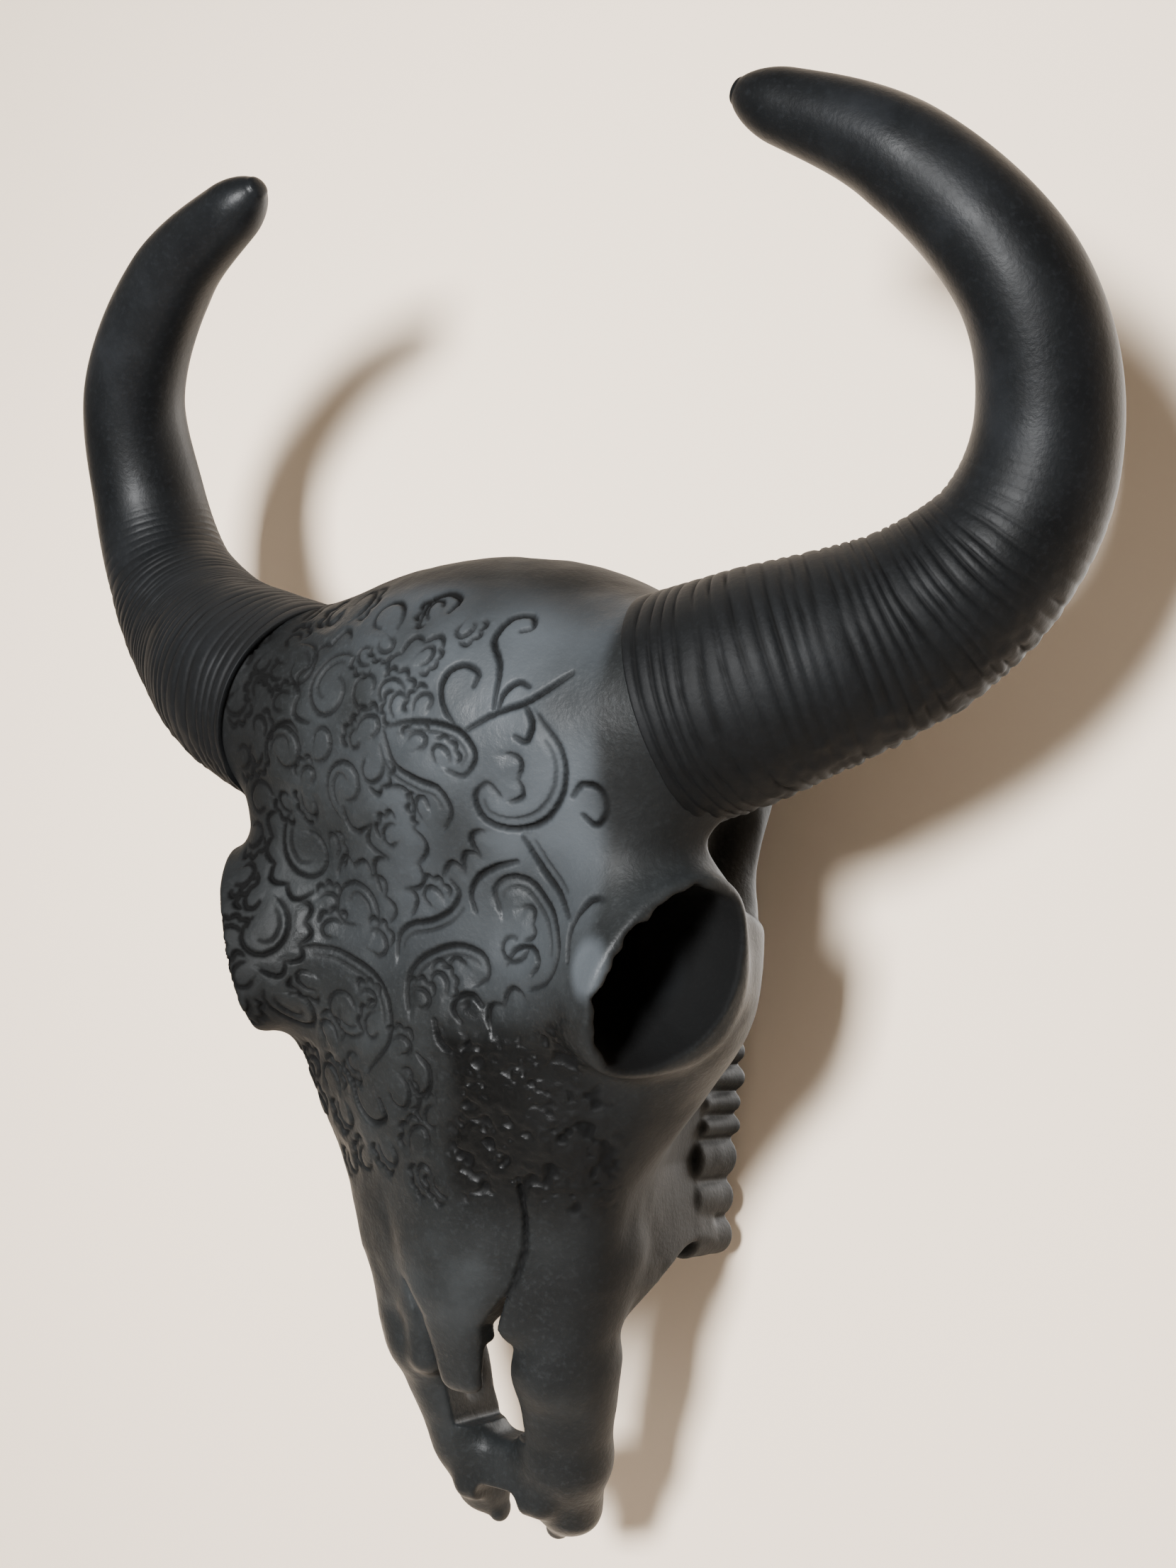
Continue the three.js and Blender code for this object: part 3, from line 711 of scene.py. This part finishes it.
def ring_directions(way, sides):
    """Unit vectors around a path at each of its points, without twist."""
    turn = np.linspace(0, 2 * math.pi, sides, endpoint=False)
    aside = np.array([0, 1.0, 0])
    rings = []
    for ahead in way:
        aside = aside - (aside @ ahead) * ahead
        aside /= np.linalg.norm(aside)
        up = np.cross(ahead, aside)
        rings.append(np.cos(turn)[:, None] * aside + np.sin(turn)[:, None] * up)
    return np.array(rings)


def tube_faces(count, sides):
    """Quads between neighbouring rings of a tube."""
    i, j = np.meshgrid(np.arange(count - 1), np.arange(sides), indexing="ij")
    k = (j + 1) % sides
    here, ahead = i * sides, (i + 1) * sides
    return np.stack([here + j, here + k, ahead + k, ahead + j], -1).reshape(-1, 4)


def build_horn(name, side):
    steps, sides = ((420, 112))
    t = np.linspace(0, 1, steps)
    point, way = spline(HORN_PATH, t)
    radius = np.interp(t * (len(HORN_RADII) - 1), range(len(HORN_RADII)), HORN_RADII)
    for _ in range(RADIUS_PASSES):
        radius[1:-1] = (radius[:-2] + 2 * radius[1:-1] + radius[2:]) / 4
    run = np.concatenate([[0], np.cumsum(np.linalg.norm(np.diff(point, axis=0), axis=1))])
    radius *= np.sqrt(1 - 0.81 * np.clip(1 - (run[-1] - run) / TIP_REACH, 0, 1) ** 2)
    rings = ring_directions(way, sides)
    surface = point[:, None] + radius[:, None, None] * rings
    flat = surface.reshape(-1, 3)
    wander = lattice_noise(flat, 30, 5).reshape(steps, sides)
    fade = 1 - smooth(run, *RINGS_FADE)
    uneven = lattice_noise(np.stack([run, 0 * run, 0 * run], 1), 13, 21)
    phase = run[:, None] / RING_SPACING + 0.35 * uneven[:, None] + 0.3 * wander
    ridge = (1 - np.abs(np.sin(math.pi * phase))) ** 1.9
    strength = fade[:, None] * (0.75 + 0.6 * lattice_noise(flat, 15, 6).reshape(steps, sides))
    relief = SHEATH - RING_DEPTH * strength * ridge + 0.5 * lattice_noise(flat, 40, 8).reshape(steps, sides)
    crust = fade[:, None] * smooth(-rings[:, :, 2], 0.25, 0.8)
    relief += crust * 0.9 * lattice_noise(flat, 5, 9).reshape(steps, sides)
    surface = point[:, None] + (radius[:, None] + relief)[:, :, None] * rings
    blunt = radius[-1] + relief[-1]
    cap = [
        point[-1] + (blunt * math.cos(a))[:, None] * rings[-1] + 0.45 * blunt.mean() * math.sin(a) * way[-1]
        for a in CAP_ANGLES
    ]
    inner = point[0] + (radius[0] - ROOT_FOLD[0]) * rings[0] + ROOT_FOLD[1] * way[0]
    rows = np.concatenate([inner[None], surface, np.array(cap)])
    count = len(rows)
    faces = tube_faces(count, sides)
    points = rows.reshape(-1, 3) * np.array([side, 1, 1])
    if side < 0:
        faces = faces[:, ::-1]
    piece = mesh_object(name, points, [faces])
    line = np.zeros((count, sides))
    # Painted shade in the ring grooves; the ring zone is darker, most on its crusted underside
    line[1 : steps + 1] = np.maximum(strength * ridge, 0.35 * fade[:, None] + 0.3 * crust)
    set_tone(piece, "line", np.clip(line, 0, 1).ravel())
    # Painted light: the upper side of the ring zone is lighter
    lit = np.zeros((count, sides))
    lit[1 : steps + 1] = smooth(rings[:, :, 2], 0.2, 0.9) * fade[:, None]
    set_tone(piece, "dust_and_sheen", lit.ravel())
    return piece


# Materials
def noise_node(nodes, links, scale, detail, coordinates):
    node = nodes.new("ShaderNodeTexNoise")
    node.inputs["Scale"].default_value = scale
    node.inputs["Detail"].default_value = detail
    node.inputs["Roughness"].default_value = 0.6
    links.new(coordinates, node.inputs["Vector"])
    return node.outputs["Fac"]


def ramp_node(nodes, links, source, stops):
    node = nodes.new("ShaderNodeValToRGB")
    while len(node.color_ramp.elements) < len(stops):
        node.color_ramp.elements.new(0.5)
    for element, (place, colour) in zip(node.color_ramp.elements, stops):
        element.position = place
        element.color = (*colour, 1)
    links.new(source, node.inputs["Fac"])
    return node.outputs["Color"]


def mix_node(nodes, links, factor, a, b):
    node = nodes.new("ShaderNodeMix")
    node.data_type = "RGBA"
    links.new(factor, node.inputs["Factor"])
    links.new(a, node.inputs["A"])
    node.inputs["B"].default_value = (*b, 1)
    return node.outputs["Result"]


def mix_value(nodes, links, factor, a, b):
    node = nodes.new("ShaderNodeMix")
    links.new(factor, node.inputs["Factor"])
    links.new(a, node.inputs["A"])
    node.inputs["B"].default_value = b
    return node.outputs["Result"]


def map_node(nodes, links, source, low, high, from_low=0.0, from_high=1.0):
    node = nodes.new("ShaderNodeMapRange")
    node.inputs["From Min"].default_value = from_low
    node.inputs["From Max"].default_value = from_high
    node.inputs["To Min"].default_value = low
    node.inputs["To Max"].default_value = high
    links.new(source, node.inputs["Value"])
    return node.outputs["Result"]


def tone_node(nodes, name):
    node = nodes.new("ShaderNodeAttribute")
    node.attribute_name = name
    return node.outputs["Fac"]


def painted(name, dark, mid, dust_and_sheen, painted_sheen, line, roughness, gloss, bump):
    """Black paint with dust and a painted sheen: mottled colour, dark lines and painted shade, uneven gloss
    and fine grain.
    """
    material = bpy.data.materials.new(name)
    material.use_nodes = True
    nodes, links = material.node_tree.nodes, material.node_tree.links
    shader = nodes["Principled BSDF"]
    place = nodes.new("ShaderNodeTexCoord").outputs["Object"]
    mottle = noise_node(nodes, links, 14, 6, place)
    colour = ramp_node(nodes, links, mottle, [(0.32, dark), (0.55, mid), (0.75, dust_and_sheen)])
    grain = noise_node(nodes, links, 380, 4, place)
    specks = map_node(nodes, links, grain, 0, 0.5, 0.52, 0.74)
    colour = mix_node(nodes, links, specks, colour, dust_and_sheen)
    # Painted sheen and highlight, and dust on upward faces, lighten the colour
    colour = mix_node(nodes, links, tone_node(nodes, "dust_and_sheen"), colour, painted_sheen)
    porous = tone_node(nodes, "porous")
    colour = mix_node(nodes, links, map_node(nodes, links, porous, 0, 0.85), colour, line)
    # Dark lines and painted shade darken the colour
    colour = mix_node(nodes, links, tone_node(nodes, "line"), colour, line)
    links.new(colour, shader.inputs["Base Color"])
    patches = noise_node(nodes, links, 24, 5, place)
    shine = map_node(nodes, links, patches, roughness[0], roughness[1], 0.32, 0.62)
    shine = mix_value(nodes, links, porous, shine, 0.3)
    shine = mix_value(nodes, links, tone_node(nodes, "line"), shine, 0.9)
    links.new(shine, shader.inputs["Roughness"])
    shader.inputs["Specular IOR Level"].default_value = gloss
    relief = nodes.new("ShaderNodeBump")
    relief.inputs["Strength"].default_value = bump
    relief.inputs["Distance"].default_value = 0.0007
    links.new(grain, relief.inputs["Height"])
    links.new(relief.outputs["Normal"], shader.inputs["Normal"])
    return material


def plain(name, colour, roughness):
    material = bpy.data.materials.new(name)
    material.use_nodes = True
    shader = material.node_tree.nodes["Principled BSDF"]
    shader.inputs["Base Color"].default_value = (*colour, 1)
    shader.inputs["Roughness"].default_value = roughness
    return material


# Camera at the photograph's viewpoint
camera = bpy.data.objects.new("camera", bpy.data.cameras.new("camera"))
bpy.context.scene.collection.objects.link(camera)
camera.location = (0.5708, -0.9622, -0.0813)
camera.rotation_euler = [math.radians(a) for a in (95.0473, -5.028, 32.7255)]
camera.data.lens = 42.959
camera.data.sensor_width = 36
camera.data.clip_start = 0.05
bpy.context.scene.camera = camera

bone_paint = painted(
    "bone_paint",
    dark=(0.004, 0.0044, 0.0045),
    mid=(0.0085, 0.0093, 0.0095),
    dust_and_sheen=(0.018, 0.02, 0.021),
    # The sheen colour below is painted sheen and highlight; the line colour is dark lines and painted shade
    painted_sheen=(0.046, 0.052, 0.058),
    line=(0.001, 0.001, 0.001),
    roughness=(0.36, 0.56),
    gloss=0.12,
    bump=0.45,
)
horn_paint = painted(
    "horn_paint",
    dark=(0.0022, 0.0025, 0.0028),
    mid=(0.0042, 0.0047, 0.0053),
    dust_and_sheen=(0.009, 0.01, 0.0115),
    # The sheen colour below is painted light on the upper side of the horns' ring zone
    painted_sheen=(0.013, 0.0135, 0.014),
    line=(0.001, 0.001, 0.001),
    roughness=(0.36, 0.5),
    gloss=0.1,
    bump=0.25,
)

skin = build_skull()
skin.data.materials.append(bone_paint)
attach(skin, "root")
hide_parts("cranium", "upper_jaw", "nasal_bones", "premaxillae")
for name, side in (("horn_right", 1), ("horn_left", -1)):
    sheath = build_horn(name + "_sheath", side)
    sheath.data.materials.append(horn_paint)
    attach(sheath, "root")
    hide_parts(name)


# Stage: a pale wall that is unseen from behind, and a pale floor
def stage_plane(name, corners, material):
    mesh = bpy.data.meshes.new(name)
    mesh.from_pydata(corners, [], [(0, 1, 2, 3)])
    plane = bpy.data.objects.new(name, mesh)
    bpy.context.scene.collection.objects.link(plane)
    mesh.materials.append(material)


def open_behind(material):
    """Clears the material's back from sight, and lets light through it from either side."""
    nodes, links = material.node_tree.nodes, material.node_tree.links
    facing = nodes.new("ShaderNodeNewGeometry")
    clear = nodes.new("ShaderNodeBsdfTransparent")
    either = nodes.new("ShaderNodeMixShader")
    passing = nodes.new("ShaderNodeLightPath")
    open_side = nodes.new("ShaderNodeMath")
    open_side.operation = "MAXIMUM"
    links.new(facing.outputs["Backfacing"], open_side.inputs[0])
    links.new(passing.outputs["Is Shadow Ray"], open_side.inputs[1])
    links.new(open_side.outputs["Value"], either.inputs["Fac"])
    links.new(nodes["Principled BSDF"].outputs["BSDF"], either.inputs[1])
    links.new(clear.outputs["BSDF"], either.inputs[2])
    links.new(either.outputs["Shader"], nodes["Material Output"].inputs["Surface"])


wall_paint = plain("wall_paint", (0.81, 0.67, 0.53), 0.9)
open_behind(wall_paint)
WALL_Y = 0.0015
FLOOR_Z = -1.1
wall_corners = [(-4, WALL_Y, FLOOR_Z), (4, WALL_Y, FLOOR_Z), (4, WALL_Y, 3), (-4, WALL_Y, 3)]
stage_plane("wall", wall_corners, wall_paint)
floor_paint = plain("floor_paint", (0.7, 0.68, 0.65), 0.8)
floor_corners = [(-4, -5, FLOOR_Z), (4, -5, FLOOR_Z), (4, 4, FLOOR_Z), (-4, 4, FLOOR_Z)]
stage_plane("floor", floor_corners, floor_paint)


def area_light(name, place, target, size, spread, power, colour):
    light = bpy.data.objects.new(name, bpy.data.lights.new(name, "AREA"))
    bpy.context.scene.collection.objects.link(light)
    light.data.size = size
    light.data.spread = math.radians(spread)
    light.data.energy = power
    light.data.color = colour
    light.location = place
    light.rotation_euler = (Vector(target) - Vector(place)).to_track_quat("-Z", "Y").to_euler()


area_light(
    "key",
    place=(0.32, -2.3, 0.2),
    target=(-0.3, 0, 0.1),
    size=0.42,
    spread=110,
    power=75,
    colour=(0.98, 0.99, 1.0),
)
area_light(
    "side",
    place=(-2.0, -1.4, 0.8),
    target=(0, -0.15, 0.1),
    size=1.4,
    spread=180,
    power=4,
    colour=(0.9, 0.95, 1.0),
)
area_light(
    "back",
    place=(0.5, 2.2, 0.7),
    target=(0, 0, 0),
    size=1.6,
    spread=180,
    power=120,
    colour=(1.0, 0.98, 0.95),
)
world = bpy.data.worlds.new("room")
bpy.context.scene.world = world
world.use_nodes = True
background = world.node_tree.nodes["Background"]
background.inputs["Color"].default_value = (1.0, 0.82, 0.6, 1)
background.inputs["Strength"].default_value = 0.24
